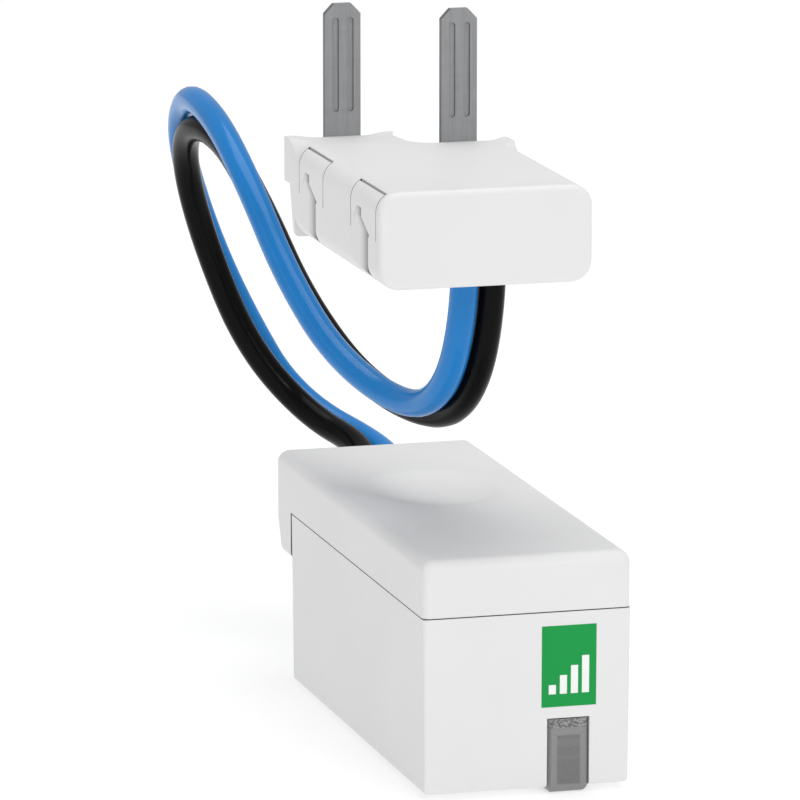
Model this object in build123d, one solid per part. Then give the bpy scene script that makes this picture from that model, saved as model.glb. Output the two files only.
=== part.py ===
from build123d import *
import math
import os

# A clip-on energy monitor: a one-module sensor box, two insulated leads and a plug-in head with
# two flat blades. Millimetres, X to the right, Y to the rear, Z up. The origin is the centre of
# the underside of the sensor base.

overrun = 2.0

# Sensor base
module_width = 18.0
base_depth = 43.0
base_height = 15.1
base_draft = 0.15
base_wall = 1.2
base_floor = 1.2
base_edge_radius = 0.35
seam_gap = 0.1
seam_depth = 0.6

# Sensor cover and its rear lug
cover_height = 4.8
cover_wall = 1.3
cover_top_radius = 1.05
cover_corner_radius = 0.65
lug_depth = 5.0
lug_drop = 4.25
lug_straight = 1.3
lug_tuck = 1.3
lug_bend_radius = 0.9
lug_gap = 0.05
lip_thickness = 0.6
lip_depth = 1.2
lip_clearance = 0.1
dish_x = 0.26
dish_y = 6.9
dish_half_width = 5.7
dish_half_length = 7.35
dish_depth = 0.7
dish_centre_share = 0.8
dish_rim_radius = 4.0

# Light guide in the front wall
guide_x = 3.65
guide_width = 3.6
guide_top = 5.82
guide_drop = 0.53
guide_thickness = 1.2
guide_reach = 2.6
guide_leg = 1.5
guide_gap = 0.1
guide_corner_radius = 0.6
guide_bevel = 0.3

# Circuit board and its ledges
ledge_width = 1.2
ledge_height = 0.8
board_thickness = 1.0
board_clearance = 0.4
solder_gap = 0.02

# Parts on the board: their centres as shares of the half width and half depth inside the base
led_size = (1.6, 0.8, 0.8)
led_inset = 0.1
antenna_share = (-0.44, -0.90)
antenna_size = (6.0, 2.0, 1.0)
radio_share = (-0.08, -0.56)
radio_size = (10.0, 8.4, 2.1)
radio_corner_radius = 0.5
chip_share = (0.44, -0.15)
chip_size = (4.6, 4.6, 0.9)
rectifier_share = (-0.48, -0.155)
rectifier_size = (5.4, 4.6, 2.3)
rectifier_bevel = 0.3
capacitor_share = (-0.47, 0.235)
capacitor_diameter = 6.3
capacitor_length = 10.5
capacitor_crimp_depth = 0.3
capacitor_crimp_height = 1.6
capacitor_edge_bevel = 0.4
inductor_share = (0.54, 0.19)
inductor_diameter = 5.0
inductor_length = 6.0
inductor_flange = 0.9
inductor_waist_diameter = 4.0
fuse_share = (0.49, 0.46)
fuse_diameter = 2.6
fuse_length = 6.0
fuse_cap_length = 1.2
fuse_waist_diameter = 2.2
varistor_share = (0.74, 0.735)
varistor_diameter = 7.0
varistor_thickness = 3.2
varistor_edge_bevel = 0.7

# Leads, where they leave the lug and where they enter the head
lead_diameter = 2.4
lead_pitch = 2.7
lead_offset = 1.2
lead_exit_rise = 0.5
lead_fit = 0.05
lead_bend_radius = 2.2
terminal_diameter = 2.2
terminal_height = 6.0
terminal_collar_diameter = 2.6
terminal_collar_height = 0.8
terminal_inset = 2.1
terminal_stagger = 3.6

# Lead clamp inside the lug
clamp_width = 9.0
clamp_top = 18.2
clamp_nose_margin = 0.55
clamp_nose_fit = 0.03

# Head: its own corner in the part's frame, then sizes from that corner
head_left = -13.68
head_front = -24.82
head_bottom = 43.44
head_width = 18.15
head_height = 8.1
head_corner_radius = 1.78
head_edge_radius = 0.45
head_wall = 1.2
cap_depth_left = 26.8
step_depth = 6.25
step_share = 0.5289
step_wall = 1.2
blue_entry_inset = 6.49
blue_entry_setback = 5.33
black_entry_inset = 3.92
black_entry_setback = 4.66

# Flex arms in the left wall of the cap
arm_front = 1.14
arm_rear_margin = 1.35
arm_length = 7.75
slit_width = 0.14
slit_foot = 3.97
slot_near = 0.76
slot_width = 0.22
arm_neck = 6.2
ramp_line = 2.3
ramp_toe = 2.05
ramp_step = 4.42
ramp_rear = 5.8
ramp_top = 6.05
ramp_shoulder = 5.3
ramp_knee = 4.2
ramp_notch = 3.95
ramp_depth = 0.45
ramp_end = 7.45

# Rear flange of the head
flange_left = 3.5
flange_right = 4.35
ear_bottom = 4.3
skirt_left = (1.7, 0.45)
skirt_right = (2.55, 1.35)
skirt_radius = 0.4
scallop_depth_left = 1.45
scallop_depth_right = 1.5
scallop_rim = 0.9
scallop_slope = 1.3
scallop_inner_slope = 1.7
scallop_right_rim_inset = 0.4
scallop_floor_radius = 1.5
scallop_rim_radius = 0.5
scallop_sweep_radius = 2.3
rim_hook = 2.1
rim_undercut = 0.6
ear_run = 2.0
ear_radius = 0.3

# Blades
blade_width = 3.12
blade_thickness = 0.7
blade_top = 19.46
blade_left_share = 0.498
blade_right_share = 0.4549
blade_tip_side = 0.8
blade_tip_drop = 0.85
bead_spacing = 1.29
bead_width = 0.58
bead_depth = 0.18
bead_low = 10.2
bead_high = 18.3
foot_bottom = 5.65
foot_bend_inner = 0.4
foot_length = 7.4
foot_length_right = 4.9

# Crimps and the sensing parts in the head
crimp_wall = 0.3
crimp_length = 2.6
tail_height = 4.1
tail_bend_radius = 1.5
sense_board_thickness = 0.8
sense_board_margin = 1.3
sense_board_front_gap = 1.7
sense_board_rear_gap = 3.3
coil_radius = 0.85
coil_flange_radius = 1.0
coil_flange = 0.5
coil_gap = 0.05
coil_left_setback = 1.9
coil_right_setback = 1.85
coil_right_offset = 3.33
coil_headroom = 0.35

# Control points of the free leads, from the lug to the head, chosen along each real lead
blue_route = [
    (2.55, 26.5, 15.6), (2.55, 30.4, 15.6), (5.0, 37.6, 16.4), (-1.55, 48.7, 19.65),
    (-6.65, 48.7, 28.65), (-9.89, 49.33, 36.45), (-12.63, 47.62, 44.68), (-13.66, 40.34, 50.11),
    (-13.4, 30.75, 49.31), (-12.57, 21.96, 44.65), (-10.64, 15.94, 37.16), (-7.92, 9.57, 31.13),
    (-3.9, 1.45, 28.03), (-2.56, -5.83, 30.91), (-2.02, -9.6, 38.5), (-2.02, -9.6, 43.44),
]
black_route = [
    (-0.15, 26.5, 15.6), (-0.15, 30.1, 15.6), (2.05, 36.35, 17.3), (-1.6, 43.75, 19.2),
    (-6.85, 45.3, 25.6), (-10.2, 46.7, 34.42), (-12.49, 45.95, 42.27), (-13.49, 40.61, 47.1),
    (-12.46, 32.58, 47.43), (-11.14, 23.78, 42.64), (-9.04, 16.76, 35.0), (-5.24, 9.75, 28.62),
    (-1.14, 1.42, 26.84), (-0.05, -5.93, 30.75), (0.55, -8.93, 38.5), (0.55, -8.93, 43.44),
]
run_share = 0.45

# Places that follow from the sizes above
half_width = module_width / 2
half_depth = base_depth / 2
seam = base_height
cover_top = base_height + cover_height
lug_rear = half_depth + lug_depth
lug_bottom = seam - lug_drop
lug_floor = lug_bottom + cover_wall
inner_half_width = half_width - base_wall
inner_half_depth = half_depth - base_wall
board_bottom = base_floor + ledge_height
board_top = board_bottom + board_thickness
board_half_depth = inner_half_depth - board_clearance
lead_radius = lead_diameter / 2
lead_exit_height = seam + lead_exit_rise
blue_x = lead_offset + lead_pitch / 2
black_x = lead_offset - lead_pitch / 2
blue_terminal_y = inner_half_depth - terminal_inset
black_terminal_y = blue_terminal_y - terminal_stagger
guide_front = -half_depth + base_draft * (1 - guide_top / (2 * base_height))
clamp_rear = lug_rear - cover_wall
head_corner = Pos(head_left, head_front, head_bottom)
cavity_top = head_height - head_wall
coil_top = foot_bottom - coil_headroom
step_x = head_width * step_share
cap_depth_right = cap_depth_left - step_depth
flange_rear_left = cap_depth_left + flange_left
flange_rear_right = cap_depth_right + flange_right
scallop_left_floor = flange_rear_left - scallop_depth_left
scallop_right_floor = flange_rear_right - scallop_depth_right
blue_entry = (head_width - blue_entry_inset, cap_depth_right - blue_entry_setback)
black_entry = (head_width - black_entry_inset, cap_depth_right - black_entry_setback)
blade_left_x = step_x * blade_left_share
blade_right_x = step_x + (head_width - step_x) * blade_right_share
coil_left_at = (step_x - step_wall - coil_flange_radius - coil_gap, cap_depth_left - coil_left_setback)
coil_right_at = (black_entry[0] - coil_right_offset, cap_depth_right - coil_right_setback)


def block(low, high):
    """A box between two opposite corners."""
    size = [b - a for a, b in zip(low, high)]
    middle = [(a + b) / 2 for a, b in zip(low, high)]
    return Pos(*middle) * Box(*size)


def outline(points, radii=None):
    """A face from an outline, with the corners in radii (index: radius) rounded."""
    face = make_face(Polyline(*points, close=True))
    for index, radius in (radii or {}).items():
        corner = face.vertices().sort_by_distance((*points[index], 0))[0]
        face = fillet(corner, radius)
    return face


def prism_x(points, start, end, radii=None):
    """Extrude a Y-Z outline along X."""
    return extrude(Plane.YZ.offset(start) * outline(points, radii), end - start)


def prism_z(points, start, end, radii=None):
    """Extrude an X-Y outline along Z."""
    return extrude(Plane.XY.offset(start) * outline(points, radii), end - start)


def run_y(profile, start, end):
    """Extrude an X-Z profile from one Y to another."""
    return extrude(Plane.XZ.offset(-start) * profile, start - end)


def post(at, low, high, radius):
    """An upright round bar."""
    return Pos(*at, (low + high) / 2) * Cylinder(radius, high - low)


def board_place(share):
    """A place on the board, from its shares of the half width and half depth."""
    return inner_half_width * share[0], inner_half_depth * share[1]


def part_on_board(at, size):
    """A block that stands on the board."""
    x, y = at
    width, depth, height = size
    low = (x - width / 2, y - depth / 2, board_top)
    return block(low, (x + width / 2, y + depth / 2, board_top + height))


def stadium(width, height):
    """A profile with round ends."""
    return SlotOverall(width, height)


def route_radii(points):
    """The largest smooth arc that each corner of a route allows."""
    radii = []
    for before, corner, after in zip(points, points[1:], points[2:]):
        arriving = Vector(*corner) - Vector(*before)
        leaving = Vector(*after) - Vector(*corner)
        half_turn = math.radians(arriving.get_angle(leaving)) / 2
        radii.append(run_share * min(arriving.length, leaving.length) / math.tan(half_turn))
    return radii


def tube(points, radii):
    """A round lead along a route."""
    path = FilletPolyline(*points, radius=radii)
    section = Plane(origin=path @ 0, z_dir=path % 0) * Circle(lead_radius)
    return sweep(section, path=path), path.length


def free_lead(name, points):
    """A free lead, with its bends and its volume reported."""
    radii = route_radii(points)
    solid, length = tube(points, radii)
    ideal = math.pi * lead_radius ** 2 * length
    print(name, "radii", [round(radius, 1) for radius in radii])
    print(name, "length %.1f volume share %.4f" % (length, solid.volume / ideal))
    return solid


def sensor_base():
    top = Plane.XY.offset(seam) * RectangleRounded(module_width, base_depth, base_edge_radius)
    angle = math.degrees(math.atan(base_draft / base_height))
    shell = extrude(top, amount=base_height, dir=(0, 0, -1), taper=angle)
    shell = fillet(shell.edges().group_by(Axis.Z)[0], base_edge_radius)
    shell -= seam_groove()
    shell -= block(
        (-inner_half_width, -inner_half_depth, base_floor),
        (inner_half_width, inner_half_depth, seam + overrun),
    )
    for side in (-1, 1):
        near = side * inner_half_width
        far = side * (inner_half_width - ledge_width)
        shell += block(
            (min(near, far), -board_half_depth, base_floor),
            (max(near, far), inner_half_depth, board_bottom),
        )
    shell -= guide_pocket()
    for x in (blue_x, black_x):
        notch = Plane.XZ * Pos(x, lead_exit_height) * Circle(lead_radius + lead_fit)
        shell -= extrude(notch, -(half_depth + overrun))
    return shell


def seam_groove():
    """The narrow step round the base's rim that leaves a shadow line under the cover."""
    rim_x = half_width - seam_depth
    rim_y = half_depth - seam_depth
    outer = block(
        (-half_width - overrun, -half_depth - overrun, seam - seam_gap),
        (half_width + overrun, half_depth + overrun, seam + overrun),
    )
    return outer - block((-rim_x, -rim_y, seam - overrun), (rim_x, rim_y, seam + overrun))


def guide_pocket():
    """The opening in the front wall and floor that takes the light guide."""
    low_x = guide_x - guide_width / 2 - guide_gap
    high_x = guide_x + guide_width / 2
    front = -half_depth - overrun
    wall = block(
        (low_x, front, -overrun),
        (high_x, -inner_half_depth + guide_gap, guide_top + guide_gap),
    )
    floor = block(
        (low_x, front, -overrun),
        (high_x, guide_front + guide_reach + guide_gap, base_floor + guide_gap),
    )
    return wall + floor


def light_guide():
    low_x = guide_x - guide_width / 2
    high_x = guide_x + guide_width / 2
    back = guide_front + guide_thickness
    leg_top = guide_leg - guide_drop
    points = [
        (guide_front, -guide_drop), (guide_front, guide_top), (back, guide_top), (back, leg_top),
        (guide_front + guide_reach, leg_top), (guide_front + guide_reach, -guide_drop),
    ]
    guide = prism_x(points, low_x, high_x, {0: guide_corner_radius})
    underside = guide.edges().filter_by(Axis.Y).group_by(Axis.Z)[0].sort_by(Axis.X)
    guide = fillet(underside[-1], guide_corner_radius)
    underside = guide.edges().filter_by(Axis.Y).group_by(Axis.Z)[0].sort_by(Axis.X)
    return chamfer(underside[0], guide_bevel)


def cover_side(inset):
    """The cover's side outline, drawn in by the wall for its hollow."""
    front = -half_depth + inset
    rear = lug_rear - inset
    foot = half_depth + lug_gap - (overrun if inset else 0)
    low = seam - (overrun if inset else 0)
    bottom = lug_bottom + inset
    knee = seam - lug_straight + inset * math.tan(math.atan2(lug_tuck, lug_drop - lug_straight) / 2)
    toe = rear - lug_tuck * (knee - bottom) / (lug_drop - lug_straight)
    return [
        (front, low), (front, cover_top - inset), (rear, cover_top - inset), (rear, knee),
        (toe, bottom), (foot, bottom), (foot, low),
    ]


def sensor_cover():
    shell = prism_x(cover_side(0), -half_width, half_width, {3: lug_bend_radius, 4: lug_bend_radius})
    rear = shell.faces().filter_by(GeomType.PLANE).sort_by(Axis.Y)[-1]
    uprights = shell.edges().filter_by(Axis.Z).group_by(Axis.Y)[0]
    uprights += rear.edges().filter_by(Axis.Z)
    shell = fillet(uprights, cover_corner_radius)
    shell = fillet(shell.edges().group_by(Axis.Z)[-1], cover_top_radius)
    hollow_half = half_width - cover_wall
    shell -= prism_x(cover_side(cover_wall), -hollow_half, hollow_half)
    shell += cover_lip()
    width = lead_pitch + lead_diameter + 2 * clamp_nose_margin
    nose = stadium(width, lead_diameter + 2 * clamp_nose_margin)
    shell -= run_y(Pos(lead_offset, lead_exit_height) * nose, clamp_rear - overrun, lug_rear + overrun)
    shell -= dish()
    rim = shell.edges().filter_by(GeomType.BSPLINE).sort_by(SortBy.LENGTH)[-1]
    return fillet(rim, dish_rim_radius)


def cover_lip():
    """The tongue that drops inside the base, open at the rear for the leads."""
    outer_x = inner_half_width - lip_clearance
    outer_y = inner_half_depth - lip_clearance
    outer = block((-outer_x, -outer_y, seam - lip_depth), (outer_x, outer_y, seam + lip_depth))
    inner_x = outer_x - lip_thickness
    inner_y = outer_y - lip_thickness
    inner = block(
        (-inner_x, -inner_y, seam - lip_depth - overrun),
        (inner_x, outer_y + overrun, seam + lip_depth + overrun),
    )
    return outer - inner


def dish():
    """A shallow elliptical hollow for a fingertip, cut from an ellipsoid above the cover."""
    height = dish_depth / (1 - dish_centre_share)
    spread = math.sqrt(1 - dish_centre_share ** 2)
    ball = scale(Sphere(1), by=(dish_half_width / spread, dish_half_length / spread, height))
    return Pos(dish_x, dish_y, cover_top - dish_depth + height) * ball


def lead_clamp():
    """The strain relief in the lug, with a nose that shows in the lug's rear wall."""
    body = block(
        (lead_offset - clamp_width / 2, half_depth + lug_gap, lug_floor),
        (lead_offset + clamp_width / 2, clamp_rear, clamp_top),
    )
    slope = prism_x(cover_side(cover_wall), -clamp_width, clamp_width)
    body = body & slope
    fit = 2 * (clamp_nose_margin - clamp_nose_fit)
    nose = stadium(lead_pitch + lead_diameter + fit, lead_diameter + fit)
    body += run_y(Pos(lead_offset, lead_exit_height) * nose, clamp_rear - cover_wall, lug_rear)
    for x in (blue_x, black_x):
        bore = Pos(x, lead_exit_height) * Circle(lead_radius + lead_fit)
        body -= run_y(bore, half_depth - overrun, lug_rear + overrun)
    return body


def main_board():
    half_x = inner_half_width - lip_clearance
    return block((-half_x, -board_half_depth, board_bottom), (half_x, board_half_depth, board_top))


def status_led():
    at = (guide_x, -board_half_depth + led_inset + led_size[1] / 2)
    return part_on_board(at, led_size)


def radio_module():
    can = part_on_board(board_place(radio_share), radio_size)
    return fillet(can.edges().filter_by(Axis.Z), radio_corner_radius)


def bridge_rectifier():
    body = part_on_board(board_place(rectifier_share), rectifier_size)
    return chamfer(body.edges().group_by(Axis.Z)[-1], rectifier_bevel)


def supply_capacitor():
    """An upright can with the rolled groove near its foot."""
    radius = capacitor_diameter / 2
    neck = radius - capacitor_crimp_depth
    profile = [
        (0, 0), (radius, 0), (radius, capacitor_crimp_height - capacitor_crimp_depth),
        (neck, capacitor_crimp_height), (radius, capacitor_crimp_height + capacitor_crimp_depth),
        (radius, capacitor_length - capacitor_edge_bevel),
        (radius - capacitor_edge_bevel, capacitor_length), (0, capacitor_length),
    ]
    can = revolve(Plane.XZ * outline(profile), Axis.Z)
    return Pos(*board_place(capacitor_share), board_top) * can


def supply_inductor():
    """A drum core with its winding drawn in between two flanges."""
    radius = inductor_diameter / 2
    top = board_top + inductor_length
    place = board_place(inductor_share)
    drum = post(place, board_top, board_top + inductor_flange, radius)
    drum += post(place, top - inductor_flange, top, radius)
    return drum + post(place, board_top, top, inductor_waist_diameter / 2)


def fuse_resistor():
    """A lying resistor with an end cap at each side."""
    radius = fuse_diameter / 2
    bar = Rot(0, 90, 0) * Cylinder(fuse_waist_diameter / 2, fuse_length)
    for side in (-1, 1):
        shift = side * (fuse_length - fuse_cap_length) / 2
        bar += Pos(shift, 0, 0) * Rot(0, 90, 0) * Cylinder(radius, fuse_cap_length)
    return Pos(*board_place(fuse_share), board_top + radius + solder_gap) * bar


def surge_varistor():
    """A disc that stands on its edge."""
    radius = varistor_diameter / 2
    disc = Rot(0, 90, 0) * Cylinder(radius, varistor_thickness)
    disc = chamfer(disc.edges().filter_by(GeomType.CIRCLE), varistor_edge_bevel)
    return Pos(*board_place(varistor_share), board_top + radius + solder_gap) * disc


def terminal(x, y):
    """A solder post that takes the end of a lead."""
    top = board_top + terminal_height
    pin = post((x, y), board_top, top, terminal_diameter / 2)
    return pin + post((x, y), board_top, board_top + terminal_collar_height, terminal_collar_diameter / 2)


def sensor_tail(x, y):
    """The end of a lead inside the box, from the lug's rear face down to its post."""
    end = board_top + terminal_height
    points = [(x, lug_rear, lead_exit_height), (x, y, lead_exit_height), (x, y, end)]
    return tube(points, lead_bend_radius)[0]


def cap_section(inset):
    """The head's cross-section, drawn in by the wall for its hollow."""
    width = head_width - 2 * inset
    height = head_height - 2 * inset
    return Pos(head_width / 2, head_height / 2) * RectangleRounded(width, height, head_corner_radius - inset)


def arm_cut(start):
    """The slits, the tip slot and the ramp of one flex arm, from the y of its front slit."""
    end = start + arm_length
    skin = head_wall + slit_width
    reach = slot_near + slot_width
    top = head_height + overrun
    cut = block((slot_near, start, arm_neck), (reach, end, top))
    cut += block((reach - slit_width, start, arm_neck), (skin, end, cavity_top))
    for y in (start, end):
        cut += block((-overrun, y - slit_width, slit_foot), (skin, y, top))
    cut -= block((reach, start - overrun, cavity_top), (skin + overrun, end + overrun, top + overrun))
    return cut + ramp_cut(start)


def ramp_cut(start):
    """The wedge let into an arm: deepest at its step line, level with the wall at the rear."""
    window = [
        (start + ramp_rear, ramp_top), (start + ramp_step, ramp_top),
        (start + ramp_step, ramp_shoulder), (start + ramp_toe, ramp_knee),
        (start + ramp_toe, ramp_notch), (start + ramp_line, ramp_notch), (start + ramp_line, -overrun), (start + ramp_end, -overrun), (start + ramp_end, ramp_knee),
    ]
    wedge = [
        (-overrun, start + ramp_toe), (ramp_depth, start + ramp_toe),
        (0, start + ramp_end), (-overrun, start + ramp_end),
    ]
    return prism_x(window, -overrun, ramp_depth) & prism_z(wedge, -overrun, head_height)


def head_cap():
    shell = run_y(cap_section(0), 0, cap_depth_left)
    shell = fillet(shell.edges().group_by(Axis.Y)[0], head_edge_radius)
    shell -= run_y(cap_section(head_wall), head_wall, cap_depth_left + overrun)
    shell -= block(
        (step_x - step_wall, cap_depth_right, -overrun),
        (head_width + overrun, cap_depth_left + overrun, head_height + overrun),
    )
    for start in (arm_front, cap_depth_left - arm_rear_margin - arm_length):
        shell -= arm_cut(start)
    for x, y in (blue_entry, black_entry):
        shell -= post((x, y), -overrun, head_wall + overrun, lead_radius + lead_fit)
    return shell


def head_flange():
    """The stepped rear closure, with a cable channel behind each half."""
    inner_x = step_x - step_wall
    left_end = step_x - scallop_rim
    right_end = head_width - scallop_right_rim_inset
    points = [
        (0, cap_depth_left), (0, flange_rear_left), (scallop_rim, flange_rear_left),
        (scallop_rim + scallop_slope, scallop_left_floor),
        (left_end - scallop_inner_slope, scallop_left_floor),
        (left_end, flange_rear_left), (step_x, flange_rear_left),
        (step_x - rim_undercut, flange_rear_left - rim_hook),
        (step_x, scallop_right_floor), (right_end - scallop_slope, scallop_right_floor),
        (right_end, flange_rear_right),
        (head_width, flange_rear_right), (head_width, cap_depth_right),
        (inner_x, cap_depth_right), (inner_x, cap_depth_left),
    ]
    radii = {
        2: scallop_rim_radius, 3: scallop_floor_radius, 4: scallop_floor_radius,
        5: scallop_rim_radius, 7: scallop_rim_radius, 8: scallop_sweep_radius,
        9: scallop_floor_radius, 10: scallop_rim_radius,
    }
    flange = prism_z(points, 0, head_height, radii)
    corners = flange.edges().filter_by(Axis.Y).group_by(Axis.Z)[0].sort_by(Axis.X)
    flange = fillet([corners[0], corners[-1]], skirt_radius)
    flange -= ear_cut(cap_depth_left, -overrun, step_x / 2)
    flange -= ear_cut(cap_depth_right, head_width - step_x / 2, head_width + overrun)
    flange -= skirt_cut(cap_depth_left, skirt_left, -overrun, step_x)
    flange -= skirt_cut(cap_depth_right, skirt_right, step_x, head_width + overrun)
    for x, floor in blade_places():
        half = blade_width / 2 + lead_fit
        flange -= block(
            (x - half, cap_depth_right - overrun, foot_bottom - foot_bend_inner),
            (x + half, floor + overrun, foot_bottom + blade_thickness + foot_bend_inner),
        )
    return flange


def ear_cut(front, start, end):
    """Open the cap's round shoulder out to the sharp corner of an ear."""
    middle = head_height / 2
    ear = Pos(head_width / 2, middle) * RectangleRounded(head_width, head_height, ear_radius)
    near = Plane.XZ.offset(-front) * cap_section(0)
    far = Plane.XZ.offset(-front - ear_run) * ear
    slab = block((start, front, middle), (end, front + ear_run, head_height + overrun))
    return slab - loft([near, far])


def skirt_cut(front, skirt, start, end):
    """Take away the rear of the flange under its ears, along a slope."""
    upper, lower = skirt
    slope = (upper - lower) / ear_bottom
    behind = front + flange_right + overrun
    points = [
        (front + upper, ear_bottom), (behind, ear_bottom),
        (behind, -overrun), (front + lower - slope * overrun, -overrun),
    ]
    return prism_x(points, start, end)


def blade_places():
    """The centre x and the front face of the left and the right blade."""
    return [
        (blade_left_x, scallop_left_floor),
        (blade_right_x, scallop_right_floor),
    ]


def blade(place, length):
    """A stamped blade: chamfered tip, two beads, and a foot bent forward into the cap."""
    x, front = place
    back = front + blade_thickness
    toe = front - length
    upper = foot_bottom + blade_thickness
    profile = [
        (toe, foot_bottom), (toe, upper), (front, upper), (front, blade_top),
        (back, blade_top), (back, foot_bottom),
    ]
    bends = {2: foot_bend_inner, 5: foot_bend_inner + blade_thickness}
    strip = prism_x(profile, x - blade_width / 2, x + blade_width / 2, bends)
    for side in (-1, 1):
        strip -= blade_tip(x, side, back)
    for side in (-1, 1):
        bead = Rot(0, 0, 90) * stadium(bead_high - bead_low, bead_width)
        middle = Pos(x + side * bead_spacing / 2, (bead_low + bead_high) / 2)
        strip -= run_y(middle * bead, front - overrun, front + bead_depth)
    return strip


def blade_tip(x, side, back):
    """The corner taken off a blade's tip."""
    edge = x + side * blade_width / 2
    points = [
        (edge, blade_top - blade_tip_drop), (edge - side * blade_tip_side, blade_top),
        (edge - side * blade_tip_side, blade_top + overrun), (edge + side * overrun, blade_top + overrun),
        (edge + side * overrun, blade_top - blade_tip_drop),
    ]
    corner = make_face(Polyline(*points, close=True))
    return run_y(corner, back - blade_thickness - overrun, back + overrun)


def head_tail(entry, points):
    """The end of a lead inside the head, from the cap's underside to its crimp."""
    route = [(*entry, 0), (*entry, tail_height)] + points
    return tube(route, tail_bend_radius)[0]


def crimp(x, end):
    """The barrel that closes on the end of a lead, under the foot of its blade."""
    outer = lead_radius + lead_fit + crimp_wall
    barrel = run_y(Pos(x, tail_height) * Circle(outer), end - crimp_length, end)
    return barrel - run_y(Pos(x, tail_height) * Circle(lead_radius + lead_fit), end - overrun * 2, end + overrun)


def sense_board():
    margin = head_wall + sense_board_margin
    front = head_wall + sense_board_front_gap
    rear = blue_entry[1] - sense_board_rear_gap
    return block((margin, front, head_wall), (head_width - margin, rear, head_wall + sense_board_thickness))


def coil(at, top):
    """A bobbin that picks up the current of the cable beside it."""
    bobbin = post(at, head_wall, top, coil_radius)
    bobbin += post(at, head_wall, head_wall + coil_flange, coil_flange_radius)
    return bobbin + post(at, top - coil_flange, top, coil_flange_radius)


blue_crimp_x = blade_left_x
blue_crimp_end = scallop_left_floor - foot_length + crimp_length
black_crimp_end = cap_depth_right - lead_fit

sensor_nodes = {
    "sensor_base": sensor_base(),
    "sensor_cover": sensor_cover(),
    "light_guide": light_guide(),
    "main_board": main_board(),
    "status_led": status_led(),
    "metering_chip": part_on_board(board_place(chip_share), chip_size),
    "radio_module": radio_module(),
    "radio_antenna": part_on_board(board_place(antenna_share), antenna_size),
    "bridge_rectifier": bridge_rectifier(),
    "supply_capacitor": supply_capacitor(),
    "supply_inductor": supply_inductor(),
    "fuse_resistor": fuse_resistor(),
    "surge_varistor": surge_varistor(),
    "lead_clamp": lead_clamp(),
    "neutral_terminal": terminal(blue_x, blue_terminal_y),
    "line_terminal": terminal(black_x, black_terminal_y),
    "blue_tail_sensor": sensor_tail(blue_x, blue_terminal_y),
    "black_tail_sensor": sensor_tail(black_x, black_terminal_y),
    "blue_lead": free_lead("blue_lead", blue_route),
    "black_lead": free_lead("black_lead", black_route),
}

left_place, right_place = blade_places()
blue_points = [(blue_crimp_x, blue_entry[1], tail_height), (blue_crimp_x, blue_crimp_end, tail_height)]
black_points = [(black_entry[0], black_crimp_end, tail_height)]

head_nodes = {
    "head_cap": head_cap(),
    "head_flange": head_flange(),
    "blade_left": blade(left_place, foot_length),
    "blade_right": blade(right_place, foot_length_right),
    "blue_tail_head": head_tail(blue_entry, blue_points),
    "black_tail_head": head_tail(black_entry, black_points),
    "crimp_left": crimp(blue_crimp_x, blue_crimp_end),
    "crimp_right": crimp(black_entry[0], black_crimp_end),
    "sense_board": sense_board(),
    "coil_left": coil(coil_left_at, coil_top),
    "coil_right": coil(coil_right_at, coil_top),
}

os.makedirs("parts", exist_ok=True)
for name, solid in sensor_nodes.items():
    export_step(solid, "parts/%s.step" % name)
for name, solid in head_nodes.items():
    export_step(head_corner * solid, "parts/%s.step" % name)
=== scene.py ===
import math

import bmesh
import bpy
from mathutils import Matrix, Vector


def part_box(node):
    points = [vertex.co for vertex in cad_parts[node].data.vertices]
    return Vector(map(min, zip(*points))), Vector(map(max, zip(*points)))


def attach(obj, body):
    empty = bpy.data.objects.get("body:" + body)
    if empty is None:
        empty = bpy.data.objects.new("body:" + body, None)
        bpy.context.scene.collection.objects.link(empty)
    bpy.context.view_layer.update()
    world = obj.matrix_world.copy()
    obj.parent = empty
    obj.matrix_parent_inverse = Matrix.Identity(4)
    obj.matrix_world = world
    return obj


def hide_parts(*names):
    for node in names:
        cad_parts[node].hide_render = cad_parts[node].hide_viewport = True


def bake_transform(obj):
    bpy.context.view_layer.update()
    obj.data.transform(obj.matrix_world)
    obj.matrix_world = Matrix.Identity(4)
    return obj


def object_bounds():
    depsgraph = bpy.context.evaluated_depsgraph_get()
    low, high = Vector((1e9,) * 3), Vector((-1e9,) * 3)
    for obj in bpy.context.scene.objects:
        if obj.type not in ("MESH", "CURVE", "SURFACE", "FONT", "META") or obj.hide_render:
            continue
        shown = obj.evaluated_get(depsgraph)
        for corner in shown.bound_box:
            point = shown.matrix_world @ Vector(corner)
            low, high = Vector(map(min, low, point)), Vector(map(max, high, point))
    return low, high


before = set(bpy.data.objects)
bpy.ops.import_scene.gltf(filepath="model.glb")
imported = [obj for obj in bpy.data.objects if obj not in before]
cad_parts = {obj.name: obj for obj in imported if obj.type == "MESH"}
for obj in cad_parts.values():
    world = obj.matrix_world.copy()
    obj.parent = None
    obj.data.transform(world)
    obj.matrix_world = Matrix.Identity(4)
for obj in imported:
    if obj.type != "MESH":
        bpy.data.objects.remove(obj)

cad_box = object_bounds()

MM = 0.001

# Camera of the photograph, in metres, degrees, pixels and millimetres of sensor
CAMERA_AT = (-0.16378, -0.56830, 0.14834)
CAMERA_YAW = 15.611
CAMERA_PITCH = 11.413
FOCAL_PIXELS = 7060.3
IMAGE_PIXELS = 800
SENSOR_WIDTH = 36.0
CLIP_START = 0.01
CLIP_END = 20.0

# Leads, in metres
LEAD_DIAMETER = 2.4 * MM
CURVE_STEPS = 16
TUBE_RESOLUTION = 6

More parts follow.
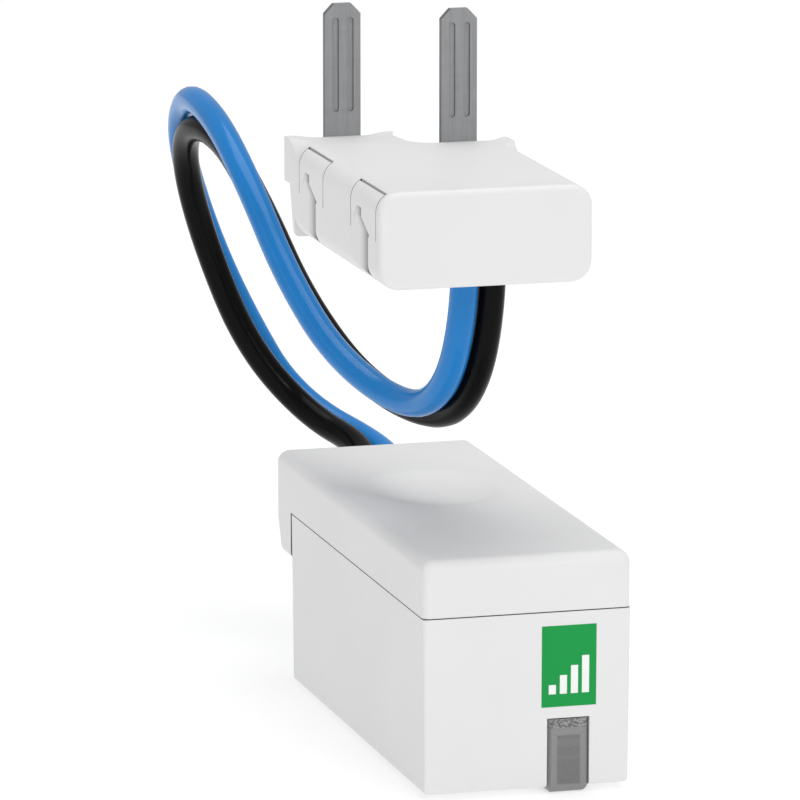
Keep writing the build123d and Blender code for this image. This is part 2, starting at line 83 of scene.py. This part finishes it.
# Control points of the leads in millimetres, from the lug to the head
BLUE_ROUTE = [
    (2.55, 26.5, 15.6), (2.55, 30.4, 15.6), (5.0, 37.6, 16.4), (-1.55, 48.7, 19.65),
    (-6.65, 48.7, 28.65), (-9.89, 49.33, 36.45), (-12.63, 47.62, 44.68), (-13.66, 40.34, 50.11),
    (-13.4, 30.75, 49.31), (-12.57, 21.96, 44.65), (-10.64, 15.94, 37.16), (-7.92, 9.57, 31.13),
    (-3.9, 1.45, 28.03), (-2.56, -5.83, 30.91), (-2.02, -9.6, 38.5), (-2.02, -9.6, 43.44),
]
BLACK_ROUTE = [
    (-0.15, 26.5, 15.6), (-0.15, 30.1, 15.6), (2.05, 36.35, 17.3), (-1.6, 43.75, 19.2),
    (-6.85, 45.3, 25.6), (-10.2, 46.7, 34.42), (-12.49, 45.95, 42.27), (-13.49, 40.61, 47.1),
    (-12.46, 32.58, 47.43), (-11.14, 23.78, 42.64), (-9.04, 16.76, 35.0), (-5.24, 9.75, 28.62),
    (-1.14, 1.42, 26.84), (-0.05, -5.93, 30.75), (0.55, -8.93, 38.5), (0.55, -8.93, 43.44),
]

# Base colours
HOUSING = (0.77, 0.77, 0.772)
BLUE = (0.008, 0.20, 0.56)
BLACK = (0.003, 0.003, 0.0033)
GUIDE = (0.235, 0.235, 0.235)
BLADE = (0.265, 0.268, 0.275)
PRINT_GREEN = (0.010, 0.31, 0.066)
PRINT_WHITE = (0.86, 0.88, 0.86)

# Sockets of the colour mix node, which share names and so are taken by number
MIX_FACTOR = 0
MIX_FIRST = 6
MIX_SECOND = 7
MIX_RESULT = 2

# Part of a noise texture's range that is spread over a colour or a roughness
NOISE_LOW = 0.3
NOISE_HIGH = 0.7

# Surface textures: noise scales, and heights in metres
DRIFT_SCALE = 70.0
GRAIN_SCALE = 9000.0
GRAIN_DEPTH = 0.004 * MM
PRINT_GRAIN = 12000.0
ROLLED_SCALE = 6000.0
ROLLED_ALONG_Z = (1, 1, 0.04)
ROLLED_DEPTH = 0.002 * MM

# Spans of a face's direction: along an axis either way, or against it
FACING = (0.7, 1.1)
AGAINST = (-1.1, -0.5)
FACING_SOFT = 0.05

# How far a shadow mask runs on past the last surface, in millimetres
PAST = 1.0

# Head section and its two flex arms, in millimetres
HEAD_CORNER = (-13.68, -24.82, 43.44)
HEAD_SIZE = (18.15, 8.1)
HEAD_ROUND = 1.78
SKIN = (0.02, 1.5)
SKIN_SOFT = 0.005
ARM_STARTS = (1.14, 17.7)
ARM_LENGTH = 7.75
ARM_NECK = 6.2
ARM_MARGIN = 0.1
SLIT_BEFORE = 0.2
SLIT_AFTER = 0.05
SLOT_REACH = 2.0
RAMP_TOE = 2.05
RAMP_STEP = 4.42
RAMP_END = 7.45
RAMP_KNEE = 4.2
RAMP_SHOULDER = 5.3
RAMP_TOP = 6.05
RAMP_DEPTH = 0.45
LINTEL_HEIGHT = 0.16
LINTEL_SOFT = 0.04

# Length of a step's shadow, as multiples of the step's depth, and how it fades
SHADOW_NEAR = 2.6
SHADOW_FAR = 7.6
SHADOW_FADE = 1.6

# Shadow line between base and cover, in millimetres
SEAM_HEIGHT = 15.1
SEAM_GAP = 0.1
SEAM_SOFT = 0.002
BASE_REAR = 21.5
LUG_GAP = 0.1
LUG_SOFT = 0.01

# Share of its colour that a surface keeps in each shadow
SLIT_SHADE = 0.03
SLOT_SHADE = 0.9
STEP_SHADE = 0.12
LINTEL_SHADE = 0.55
SEAM_SHADE = 0.12
LUG_SHADE = 0.2
BLADE_WALL_SHADE = 0.5

# Light guide: its darker core of painted shade, the lighter bars painted behind it and its frosted
# band, in millimetres
GUIDE_CORE_X = (2.63, 4.65)
GUIDE_CORE_Z = (0.2, 4.4)
GUIDE_BARS = ((3.45, 4.1), (2.4, 2.62))
GUIDE_BAND = (5.05, 5.8)
CORE_SHADE = 0.66
BAR_SHADE = 1.14
PIT_SHADE = 0.5
PEAK_SHADE = 1.35

# Printed block on the front of the base, in millimetres
PRINT_LEFT = 1.25
PRINT_RIGHT = 6.0
PRINT_LOW = 6.9
PRINT_HIGH = 13.85
PRINT_LIFT = 0.02
BASE_DRAFT = 0.15
BAR_HEIGHTS = (0.8, 1.6, 2.4, 3.2)
BAR_WIDTH = 0.62
BAR_GAP = 0.34
BAR_INSET = 0.62
BAR_FOOT = PRINT_LOW + 1.1
BAR_LIFT = PRINT_LIFT * 1.8

# Studio: the floor's half width, the lights' places and sizes in metres, their power in watts
FLOOR_REACH = 4
FLOOR_DARK = (0.49, 0.49, 0.49)
FLOOR_LIGHT = (0.51, 0.51, 0.51)
FLOOR_GLOW = 0.56
WORLD_STRENGTH = 0.53
LIGHT_TARGET = (0, 0, 0.03)
LIGHTS = [
    ("top", (0.03, 0.02, 0.85), (0.8, 0.65), 3.65),
    ("front", (0.2, -1.1, 0.55), (0.6, 0.35), 3.6),
    ("left", (-1.1, -0.25, 0.3), (0.8, 0.8), 0.8),
]


def camera():
    """The photograph's camera."""
    data = bpy.data.cameras.new("view")
    data.sensor_width = SENSOR_WIDTH
    data.lens = FOCAL_PIXELS / IMAGE_PIXELS * SENSOR_WIDTH
    data.clip_start = CLIP_START
    data.clip_end = CLIP_END
    view = bpy.data.objects.new("view", data)
    view.location = CAMERA_AT
    view.rotation_euler = (math.radians(90 - CAMERA_PITCH), 0, -math.radians(CAMERA_YAW))
    bpy.context.scene.collection.objects.link(view)
    bpy.context.scene.camera = view


class Nodes:
    """A material's node tree, with short calls for the nodes used here."""

    def __init__(self, name):
        self.material = bpy.data.materials.new(name)
        self.material.use_nodes = True
        self.tree = self.material.node_tree
        self.shader = self.tree.nodes["Principled BSDF"]

    def add(self, kind, **values):
        """A new node; each value goes to its setting or its input of that name."""
        node = self.tree.nodes.new(kind)
        for key, value in values.items():
            if hasattr(node, key) and key not in node.inputs:
                setattr(node, key, value)
            else:
                node.inputs[key].default_value = value
        return node

    def link(self, source, target):
        self.tree.links.new(source, target)

    def drive(self, source, name):
        """Lets a socket drive one input of the shader."""
        self.link(source, self.shader.inputs[name])

    def set(self, **values):
        for key, value in values.items():
            self.shader.inputs[key.replace("_", " ")].default_value = value

    def place(self, stretch=(1, 1, 1)):
        """The piece's own coordinates, stretched."""
        source = self.add("ShaderNodeTexCoord")
        mapping = self.add("ShaderNodeMapping")
        mapping.inputs["Scale"].default_value = stretch
        self.link(source.outputs["Object"], mapping.inputs["Vector"])
        return mapping.outputs["Vector"]

    def noise(self, scale, detail=2.0, stretch=(1, 1, 1)):
        node = self.add("ShaderNodeTexNoise", Scale=scale, Detail=detail)
        self.link(self.place(stretch), node.inputs["Vector"])
        return node.outputs["Fac"]

    def ramp(self, source, low, high, start=NOISE_LOW, end=NOISE_HIGH):
        """A colour that runs from low to high as source goes from start to end."""
        node = self.add("ShaderNodeValToRGB")
        node.color_ramp.elements[0].position = start
        node.color_ramp.elements[1].position = end
        node.color_ramp.elements[0].color = (*low, 1)
        node.color_ramp.elements[1].color = (*high, 1)
        self.link(source, node.inputs["Fac"])
        return node.outputs["Color"]

    def remap(self, source, low, high):
        """A number that runs from low to high over the used part of a noise."""
        node = self.add("ShaderNodeMapRange")
        node.inputs["From Min"].default_value = NOISE_LOW
        node.inputs["From Max"].default_value = NOISE_HIGH
        node.inputs["To Min"].default_value = low
        node.inputs["To Max"].default_value = high
        self.link(source, node.inputs["Value"])
        return node.outputs["Result"]

    def math(self, operation, *operands, clamp=False):
        """One arithmetic step; each operand is a socket or a number."""
        node = self.add("ShaderNodeMath", operation=operation, use_clamp=clamp)
        for socket, operand in zip(node.inputs, operands):
            if isinstance(operand, (int, float)):
                socket.default_value = operand
            else:
                self.link(operand, socket)
        return node.outputs["Value"]

    def axes(self, vector):
        node = self.add("ShaderNodeSeparateXYZ")
        self.link(vector, node.inputs["Vector"])
        return [node.outputs[axis] for axis in "XYZ"]

    def millimetres(self):
        """X, Y and Z of the surface point in millimetres."""
        return self.axes(self.place((1 / MM, 1 / MM, 1 / MM)))

    def facing(self):
        """X, Y and Z of the face's own direction."""
        return self.axes(self.add("ShaderNodeNewGeometry").outputs["True Normal"])

    def between(self, value, low, high, soft=0.001):
        """One inside a span and zero outside it, with soft borders."""
        rise = self.add("ShaderNodeMapRange", interpolation_type="SMOOTHSTEP")
        fall = self.add("ShaderNodeMapRange", interpolation_type="SMOOTHSTEP")
        for node, start, end in ((rise, low - soft, low + soft), (fall, high + soft, high - soft)):
            node.inputs["From Min"].default_value = start
            node.inputs["From Max"].default_value = end
            self.link(value, node.inputs["Value"])
        return self.math("MULTIPLY", rise.outputs["Result"], fall.outputs["Result"])

    def both(self, *masks):
        """One where every mask is one."""
        joined = masks[0]
        for mask in masks[1:]:
            joined = self.math("MULTIPLY", joined, mask)
        return joined

    def darken(self, colour, mask, share):
        """The colour times a share where the mask is one; a share over 1 makes it lighter."""
        node = self.add("ShaderNodeMix", data_type="RGBA", blend_type="MULTIPLY")
        node.inputs[MIX_SECOND].default_value = (share, share, share, 1)
        self.link(mask, node.inputs[MIX_FACTOR])
        self.link(colour, node.inputs[MIX_FIRST])
        return node.outputs[MIX_RESULT]

    def bump(self, height, strength, distance):
        node = self.add("ShaderNodeBump", Strength=strength, Distance=distance)
        self.link(height, node.inputs["Height"])
        self.drive(node.outputs["Normal"], "Normal")


def shade(value, share):
    return tuple(channel * share for channel in value)


def moulded(name, colour, rough=0.48, grain=GRAIN_SCALE, drift=0.02, shade_and_marks=None, gloss=0.5):
    """Moulded plastic: a fine spark-eroded grain, a slight drift of tone and of gloss, and any
    painted shade or marks laid on the tone.
    """
    nodes = Nodes(name)
    patches = nodes.noise(DRIFT_SCALE, detail=3.0)
    tone = nodes.ramp(patches, shade(colour, 1 - drift), shade(colour, 1 + drift))
    # Painted shadows and shade, with any other marks, are laid on the tone here.
    if shade_and_marks:
        tone = shade_and_marks(nodes, tone)
    nodes.drive(tone, "Base Color")
    grain_height = nodes.noise(grain, detail=3.0)
    nodes.drive(nodes.remap(grain_height, low=rough - 0.05, high=rough + 0.05), "Roughness")
    nodes.set(Specular_IOR_Level=gloss)
    nodes.bump(grain_height, strength=0.35, distance=GRAIN_DEPTH)
    return nodes.material


def skin_depth(nodes, x, z):
    """Depth of a point below the head's rounded outer section, in millimetres."""
    half_x = HEAD_SIZE[0] / 2
    half_z = HEAD_SIZE[1] / 2
    across = nodes.math("ABSOLUTE", nodes.math("SUBTRACT", x, HEAD_CORNER[0] + half_x))
    up = nodes.math("ABSOLUTE", nodes.math("SUBTRACT", z, HEAD_CORNER[2] + half_z))
    out_x = nodes.math("SUBTRACT", across, half_x - HEAD_ROUND)
    out_z = nodes.math("SUBTRACT", up, half_z - HEAD_ROUND)
    corner_x = nodes.math("MAXIMUM", out_x, 0.0)
    corner_z = nodes.math("MAXIMUM", out_z, 0.0)
    square = nodes.math("ADD", nodes.math("POWER", corner_x, 2.0), nodes.math("POWER", corner_z, 2.0))
    inside = nodes.math("MINIMUM", nodes.math("MAXIMUM", out_x, out_z), 0.0)
    outward = nodes.math("ADD", nodes.math("SQRT", square), inside)
    return nodes.math("SUBTRACT", HEAD_ROUND, outward)


def arm_shadows(nodes, tone):
    """Shadow kept in the slits, the tip slots and the sloping windows of the two flex arms."""
    x, y, z = nodes.millimetres()
    side, front, _ = nodes.facing()
    depth = skin_depth(nodes, x, z)
    below = nodes.between(depth, *SKIN, soft=SKIN_SOFT)
    along = nodes.math("SUBTRACT", y, HEAD_CORNER[1])
    height = nodes.math("SUBTRACT", z, HEAD_CORNER[2])
    left = nodes.between(x, HEAD_CORNER[0] - PAST, HEAD_CORNER[0] + SLOT_REACH)
    across_slit = nodes.between(nodes.math("ABSOLUTE", front), *FACING, soft=FACING_SOFT)
    across_slot = nodes.between(nodes.math("ABSOLUTE", side), *FACING, soft=FACING_SOFT)
    for start in ARM_STARTS:
        arm = nodes.math("SUBTRACT", along, start)
        for slit in (0.0, ARM_LENGTH):
            slit_band = nodes.between(arm, slit - SLIT_BEFORE, slit + SLIT_AFTER)
            tone = nodes.darken(tone, nodes.both(below, left, across_slit, slit_band), SLIT_SHADE)
        reach = nodes.between(arm, -ARM_MARGIN, ARM_LENGTH + ARM_MARGIN)
        high = nodes.between(height, ARM_NECK, HEAD_SIZE[1])
        tone = nodes.darken(tone, nodes.both(below, left, across_slot, reach, high), SLOT_SHADE)
        window_length = nodes.between(arm, RAMP_TOE, RAMP_END)
        window_height = nodes.between(height, -PAST, RAMP_TOP)
        window = nodes.both(window_length, window_height, across_slot, left, below)
        step = ramp_shadow(nodes, arm, height)
        tone = nodes.darken(tone, nodes.both(window, step), STEP_SHADE)
        lintel = nodes.between(height, RAMP_TOP - LINTEL_HEIGHT, RAMP_TOP, LINTEL_SOFT)
        tone = nodes.darken(tone, nodes.both(window, lintel), LINTEL_SHADE)
    return tone


def ramp_shadow(nodes, arm, height):
    """Soft shadow on an arm's sloping window, as long as the step in front of it is deep."""
    rise = 1 / (RAMP_SHOULDER - RAMP_KNEE)
    lift = nodes.math("MULTIPLY", nodes.math("SUBTRACT", height, RAMP_KNEE), rise, clamp=True)
    step = nodes.math("MULTIPLY_ADD", lift, RAMP_STEP - RAMP_TOE, RAMP_TOE)
    fall = RAMP_DEPTH / (RAMP_END - RAMP_TOE)
    wall = nodes.math("MULTIPLY", nodes.math("SUBTRACT", RAMP_END, step), fall)
    reach = nodes.math("DIVIDE", nodes.math("SUBTRACT", arm, step), wall)
    fade = nodes.math("SUBTRACT", SHADOW_FAR, reach)
    share = nodes.math("MULTIPLY", fade, 1 / (SHADOW_FAR - SHADOW_NEAR), clamp=True)
    return nodes.math("POWER", share, SHADOW_FADE)


def base_seam_shadow(nodes, tone):
    """Shadow on the base's rim, in the gap under the cover."""
    z = nodes.millimetres()[2]
    rim = nodes.between(z, SEAM_HEIGHT - SEAM_GAP, SEAM_HEIGHT + PAST)
    return nodes.darken(tone, rim, SEAM_SHADE)


def cover_seam_shadow(nodes, tone):
    """Shadow under the cover's rim and on the lug's face against the base."""
    _, y, z = nodes.millimetres()
    _, front, up = nodes.facing()
    rim = nodes.between(z, SEAM_HEIGHT - PAST, SEAM_HEIGHT, SEAM_SOFT)
    under = nodes.between(up, *AGAINST, soft=FACING_SOFT)
    tone = nodes.darken(tone, nodes.both(rim, under), SEAM_SHADE)
    lug = nodes.between(y, BASE_REAR, BASE_REAR + LUG_GAP, LUG_SOFT)
    forward = nodes.between(front, *AGAINST, soft=FACING_SOFT)
    return nodes.darken(tone, nodes.both(lug, forward), LUG_SHADE)


def metal(name, colour, rough):
    """Rolled or drawn metal with fine lines along one axis."""
    nodes = Nodes(name)
    lines = nodes.noise(ROLLED_SCALE, detail=4.0, stretch=ROLLED_ALONG_Z)
    nodes.drive(nodes.ramp(lines, shade(colour, 0.92), shade(colour, 1.08)), "Base Color")
    nodes.drive(nodes.remap(lines, low=rough - 0.06, high=rough + 0.06), "Roughness")
    nodes.set(Metallic=1.0)
    nodes.bump(lines, strength=0.3, distance=ROLLED_DEPTH)
    return nodes.material


def blade_tin(name, colour):
    """Rolled strip with brushed lines both ways, with a painted shade on its cut and pressed walls
    that face -X.
    """
    nodes = Nodes(name)
    lines = nodes.noise(ROLLED_SCALE, detail=4.0, stretch=ROLLED_ALONG_Z)
    cross = nodes.noise(scale=1500.0, detail=3.0, stretch=(0.3, 1, 1))
    brushed = nodes.math("MULTIPLY_ADD", cross, 0.4, lines)
    tone = nodes.ramp(brushed, shade(colour, 0.9), shade(colour, 1.1), start=0.4, end=0.8)
    side = nodes.facing()[0]
    # Painted shade: every face turned to -X is darker, whatever its cut.
    wall = nodes.between(side, *AGAINST, soft=0.1)
    nodes.drive(nodes.darken(tone, wall, BLADE_WALL_SHADE), "Base Color")
    nodes.drive(nodes.remap(lines, low=0.4, high=0.5), "Roughness")
    nodes.set(Metallic=0.35)
    nodes.bump(lines, strength=0.3, distance=ROLLED_DEPTH)
    return nodes.material


def insulation(name, colour, rough=0.3, gloss=0.13):
    """Extruded lead insulation: satin, with a faint waviness from the die."""
    nodes = Nodes(name)
    tone = nodes.ramp(nodes.noise(scale=120.0), shade(colour, 0.95), shade(colour, 1.05))
    nodes.drive(tone, "Base Color")
    wave = nodes.noise(scale=1800.0)
    nodes.drive(nodes.remap(wave, low=rough - 0.04, high=rough + 0.06), "Roughness")
    nodes.set(Specular_IOR_Level=gloss)
    nodes.bump(wave, strength=0.2, distance=0.006 * MM)
    return nodes.material


def paint(node, material):
    """Gives a CAD node its one material."""
    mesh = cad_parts[node].data
    mesh.materials.clear()
    mesh.materials.append(material)


def lead_curve(name, route, width):
    """The smooth line through a lead's control points, as a curve of the given radius."""
    data = bpy.data.curves.new(name, "CURVE")
    data.dimensions = "3D"
    data.resolution_u = CURVE_STEPS
    data.bevel_depth = width
    data.bevel_resolution = TUBE_RESOLUTION
    spline = data.splines.new("NURBS")
    spline.points.add(len(route) - 1)
    for point, place in zip(spline.points, route):
        point.co = (*(value * MM for value in place), 1)
    spline.order_u = 3
    spline.use_endpoint_u = True
    return bpy.data.objects.new(name, data)


def lead_mesh(name, route, width):
    """The lead's curve as a mesh: its bare line at width 0, else its tube."""
    curve = lead_curve(name + "_line", route, width)
    bpy.context.scene.collection.objects.link(curve)
    bpy.context.view_layer.update()
    evaluated = curve.evaluated_get(bpy.context.evaluated_depsgraph_get())
    mesh = bpy.data.meshes.new_from_object(evaluated)
    bpy.data.objects.remove(curve)
    return mesh


def lead(node, route, material):
    """One insulated lead, held by the sensor at one end and by the head at the other."""
    line = lead_mesh(node, route, 0)
    mesh = lead_mesh(node, route, LEAD_DIAMETER / 2)
    mesh.materials.clear()
    mesh.materials.append(material)
    for polygon in mesh.polygons:
        polygon.use_smooth = True
    tube = bpy.data.objects.new(node + "_insulated", mesh)
    bpy.context.scene.collection.objects.link(tube)
    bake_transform(tube)
    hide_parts(node)


def mesh_object(name, build, material):
    """A new piece whose faces build adds to an empty mesh."""
    mesh = bpy.data.meshes.new(name)
    work = bmesh.new()
    build(work)
    bmesh.ops.recalc_face_normals(work, faces=work.faces)
    work.to_mesh(mesh)
    work.free()
    mesh.materials.append(material)
    piece = bpy.data.objects.new(name, mesh)
    bpy.context.scene.collection.objects.link(piece)
    return piece


def front_face_y(z):
    """Y of the base's drafted front face at a height, in metres."""
    low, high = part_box("sensor_base")
    share = (z - low[2]) / (high[2] - low[2])
    return low[1] + BASE_DRAFT * MM * (1 - share)


def printed(work, left, right, low, high, lift):
    """A thin printed patch that follows the drafted front face."""
    corners = [(left, low), (right, low), (right, high), (left, high)]
    rings = []
    for height in (-lift, lift):
        ring = []
        for x, z in corners:
            ring.append(work.verts.new((x * MM, front_face_y(z * MM) - height * MM, z * MM)))
        rings.append(ring)
    back, front = rings
    work.faces.new(front)
    work.faces.new(back[::-1])
    for index in range(4):
        after = (index + 1) % 4
        work.faces.new((back[index], back[after], front[after], front[index]))


def print_block():
    """The green block on the front, with four rising bars."""
    green = moulded("print_green", PRINT_GREEN, rough=0.42, grain=PRINT_GRAIN, drift=0.03, gloss=0.15)
    white = moulded("print_white", PRINT_WHITE, rough=0.42, grain=PRINT_GRAIN)

    def ground(work):
        printed(work, PRINT_LEFT, PRINT_RIGHT, PRINT_LOW, PRINT_HIGH, PRINT_LIFT)

    def bars(work):
        for index, height in enumerate(BAR_HEIGHTS):
            left = PRINT_LEFT + BAR_INSET + index * (BAR_WIDTH + BAR_GAP)
            printed(work, left, left + BAR_WIDTH, BAR_FOOT, BAR_FOOT + height, BAR_LIFT)

    for name, build, material in (("print_ground", ground, green), ("print_bars", bars, white)):
        piece = mesh_object(name, build, material)
        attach(piece, "sensor")


def floor():
    """A wide floor under the box, which glows a little so that it fades into the white."""
    nodes = Nodes("floor")
    nodes.drive(nodes.ramp(nodes.noise(scale=3.0), FLOOR_DARK, FLOOR_LIGHT), "Base Color")
    nodes.set(Roughness=0.9, Specular_IOR_Level=0.1)
    nodes.set(Emission_Color=(1, 1, 1, 1), Emission_Strength=FLOOR_GLOW)
    low = cad_box[0][2]

    def sheet(work):
        near, far = -FLOOR_REACH, FLOOR_REACH
        corners = ((near, near), (far, near), (far, far), (near, far))
        work.faces.new([work.verts.new((x, y, low)) for x, y in corners])

    piece = mesh_object("floor", sheet, nodes.material)


def area_light(name, at, size, power):
    """A rectangular light that faces the object."""
    data = bpy.data.lights.new(name, "AREA")
    data.shape = "RECTANGLE"
    data.size, data.size_y = size
    data.energy = power
    lamp = bpy.data.objects.new(name, data)
    lamp.location = at
    aim = Vector(LIGHT_TARGET) - Vector(at)
    lamp.rotation_euler = aim.to_track_quat("-Z", "Y").to_euler()
    bpy.context.scene.collection.objects.link(lamp)


def lights():
    """An even white surround and three soft lights."""
    world = bpy.data.worlds.new("studio")
    world.use_nodes = True
    background = world.node_tree.nodes["Background"]
    background.inputs["Color"].default_value = (1.0, 1.0, 1.0, 1)
    background.inputs["Strength"].default_value = WORLD_STRENGTH
    bpy.context.scene.world = world
    for light in LIGHTS:
        area_light(*light)


def guide_shade_and_frost(nodes, tone):
    """The smoked guide's darker core, a painted shade of the hollow seen through it; the soft bars
    behind it, painted lighter; and its frosted band.
    """
    x, _, z = nodes.millimetres()
    core_x = nodes.between(x, *GUIDE_CORE_X, soft=0.08)
    core = nodes.both(core_x, nodes.between(z, *GUIDE_CORE_Z, soft=0.1))
    # Painted shade: the core is darker where the shaded hollow behind the guide shows through.
    tone = nodes.darken(tone, core, CORE_SHADE)
    for span in GUIDE_BARS:
        bar = nodes.both(core_x, nodes.between(z, *span, soft=0.15))
        # Painted light: the bars behind the core are lighter.
        tone = nodes.darken(tone, bar, BAR_SHADE)
    ripple = nodes.noise(scale=4200.0, detail=1.0, stretch=(1, 1, 1.8))
    band = nodes.between(z, *GUIDE_BAND, soft=0.05)
    pits = nodes.between(ripple, low=0.5, high=2.0, soft=0.04)
    peaks = nodes.between(ripple, low=-1.0, high=0.42, soft=0.04)
    tone = nodes.darken(tone, nodes.both(band, pits), PIT_SHADE)
    return nodes.darken(tone, nodes.both(band, peaks), PEAK_SHADE)


def laminate(name, colour):
    """Circuit board: solder mask over a faint woven ground."""
    nodes = Nodes(name)
    weave = nodes.noise(scale=2600.0, detail=3.0, stretch=(1, 0.2, 1))
    nodes.drive(nodes.ramp(weave, shade(colour, 0.8), shade(colour, 1.15)), "Base Color")
    nodes.set(Roughness=0.32)
    nodes.bump(weave, strength=0.2, distance=0.01 * MM)
    return nodes.material


def wound(name, colour):
    """Enamelled wire lying in turns."""
    nodes = Nodes(name)
    turns = nodes.add("ShaderNodeTexWave", Scale=900.0, bands_direction="Y")
    nodes.link(nodes.place(), turns.inputs["Vector"])
    height = turns.outputs["Fac"]
    # Painted shade: darker in the grooves between turns.
    nodes.drive(nodes.ramp(height, shade(colour, 0.55), colour, start=0.0, end=1.0), "Base Color")
    nodes.set(Metallic=0.8, Roughness=0.35)
    nodes.bump(height, strength=0.6, distance=0.03 * MM)
    return nodes.material


def inner_materials():
    """Materials of the pieces inside the two housings."""
    board = laminate("board_green", (0.02, 0.16, 0.05))
    epoxy = moulded("chip_epoxy", (0.02, 0.02, 0.022), rough=0.45, drift=0.1)
    tinned = metal("tinned_copper", (0.62, 0.60, 0.57), rough=0.3)
    copper = wound("copper_winding", (0.55, 0.20, 0.07))
    return {
        "main_board": board,
        "sense_board": board,
        "metering_chip": epoxy,
        "bridge_rectifier": epoxy,
        "radio_module": metal("shield_can", (0.58, 0.58, 0.56), rough=0.32),
        "radio_antenna": moulded("antenna_ceramic", (0.70, 0.74, 0.78), rough=0.35, drift=0.05),
        "supply_capacitor": moulded("capacitor_sleeve", (0.03, 0.03, 0.05), rough=0.3, drift=0.15),
        "supply_inductor": moulded("inductor_ferrite", (0.05, 0.05, 0.05), rough=0.6, drift=0.15),
        "fuse_resistor": moulded("resistor_coat", (0.12, 0.28, 0.32), rough=0.5, drift=0.1),
        "surge_varistor": moulded("varistor_coat", (0.03, 0.12, 0.36), rough=0.4, drift=0.1),
        "lead_clamp": moulded("clamp_nylon", (0.62, 0.62, 0.60), rough=0.5, drift=0.04),
        "line_terminal": tinned,
        "neutral_terminal": tinned,
        "crimp_left": tinned,
        "crimp_right": tinned,
        "coil_left": copper,
        "coil_right": copper,
        "status_led": moulded("led_lens", (0.75, 0.78, 0.74), rough=0.2, drift=0.04),
        "blue_tail_head": insulation("blue_tail", BLUE),
        "blue_tail_sensor": insulation("blue_tail_low", BLUE),
        "black_tail_head": insulation("black_tail", BLACK),
        "black_tail_sensor": insulation("black_tail_low", BLACK),
    }


camera()
blue = insulation("blue_insulation", BLUE, rough=0.18, gloss=0.3)
black = insulation("black_insulation", BLACK, rough=0.2, gloss=0.08)
lead("blue_lead", BLUE_ROUTE, blue)
lead("black_lead", BLACK_ROUTE, black)

# The housings get painted shadows in their seams, slits and windows; the guide gets painted shade in
# its core.
paint("sensor_base", moulded("base_housing", HOUSING, shade_and_marks=base_seam_shadow))
paint("sensor_cover", moulded("cover_housing", HOUSING, shade_and_marks=cover_seam_shadow))
paint("head_cap", moulded("cap_housing", HOUSING, shade_and_marks=arm_shadows))
paint("head_flange", moulded("flange_housing", HOUSING))
paint("light_guide", moulded("smoked_guide", GUIDE, rough=0.3, drift=0.04, shade_and_marks=guide_shade_and_frost))
tin = blade_tin("blade_metal", BLADE)
paint("blade_left", tin)
paint("blade_right", tin)
for node, material in inner_materials().items():
    paint(node, material)
print_block()
floor()
lights()
bpy.context.scene.view_settings.view_transform = "Standard"
